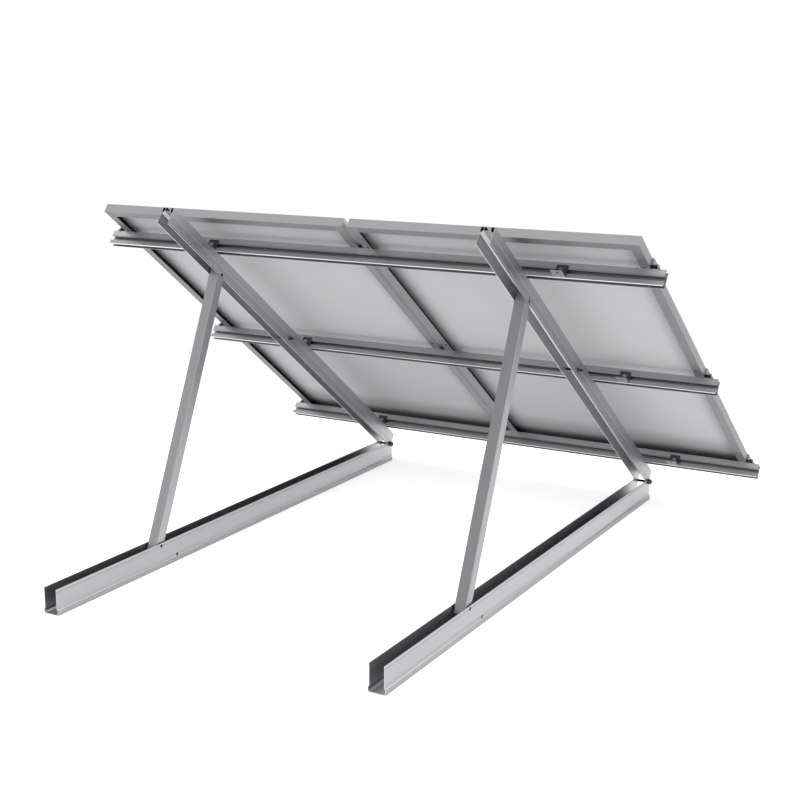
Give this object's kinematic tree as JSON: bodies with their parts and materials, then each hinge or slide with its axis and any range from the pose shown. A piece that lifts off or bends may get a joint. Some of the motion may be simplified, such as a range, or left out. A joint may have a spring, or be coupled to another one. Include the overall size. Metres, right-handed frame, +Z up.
{
  "type": "ground rack with two solar panels",
  "caption": "Free-standing aluminium rack holding two framed solar panels side by side on a fixed slope, with open base channels, slotted rafters, rear legs and cross rails.",
  "frame": {"origin": "on the ground, under the middle of the object's bounding box", "axes": "+X along the rails, to the right for someone who stands behind the panels; +Y level, towards the panels' low edge; +Z up"},
  "size_m": [2.152, 2.2916, 1.2478],
  "materials": {
    "channel": "mill finish with fine drawing lines",
    "rafter": "mill finish with fine drawing lines",
    "leg": "mill finish, square tube",
    "rail": "mill finish with fine drawing lines",
    "frame": "clear anodised, satin",
    "laminate": "glass front over dark cells, white back sheet",
    "clamp": "clear anodised, satin",
    "bracket": "mill finish, satin",
    "stainless": "plain stainless steel",
    "dark_steel": "black coated steel, satin"
  },
  "bodies": {
    "root": {"base_left": "channel", "base_right": "channel", "rafter_left": "rafter", "rafter_right": "rafter", "leg_left": "leg", "leg_right": "leg", "rail_top": "rail", "rail_middle": "rail", "rail_bottom": "rail", "left_frame_top": "frame", "left_frame_bottom": "frame", "left_frame_outer": "frame", "left_frame_inner": "frame", "left_laminate": "laminate", "right_frame_top": "frame", "right_frame_bottom": "frame", "right_frame_inner": "frame", "right_frame_outer": "frame", "right_laminate": "laminate", "end_clamps_left": "clamp", "end_clamps_right": "clamp", "mid_clamps": "clamp", "clamp_screws": "stainless", "clamp_slot_nuts": "stainless", "brackets_left": "bracket", "brackets_right": "bracket", "bracket_t_bolts": "stainless", "bracket_washers": "stainless", "bracket_nuts": "stainless", "bracket_foot_bolts": "stainless", "bracket_foot_nuts": "stainless", "pivot_bolts": "dark_steel", "pivot_nuts": "dark_steel", "pivot_washers": "dark_steel", "leg_foot_bolts": "dark_steel", "leg_foot_spacers": "dark_steel", "leg_top_bolts": "dark_steel", "leg_top_washers": "dark_steel", "cross_bolts": "dark_steel", "cross_nuts": "dark_steel", "cross_washers": "dark_steel"}
  },
  "joints": []
}
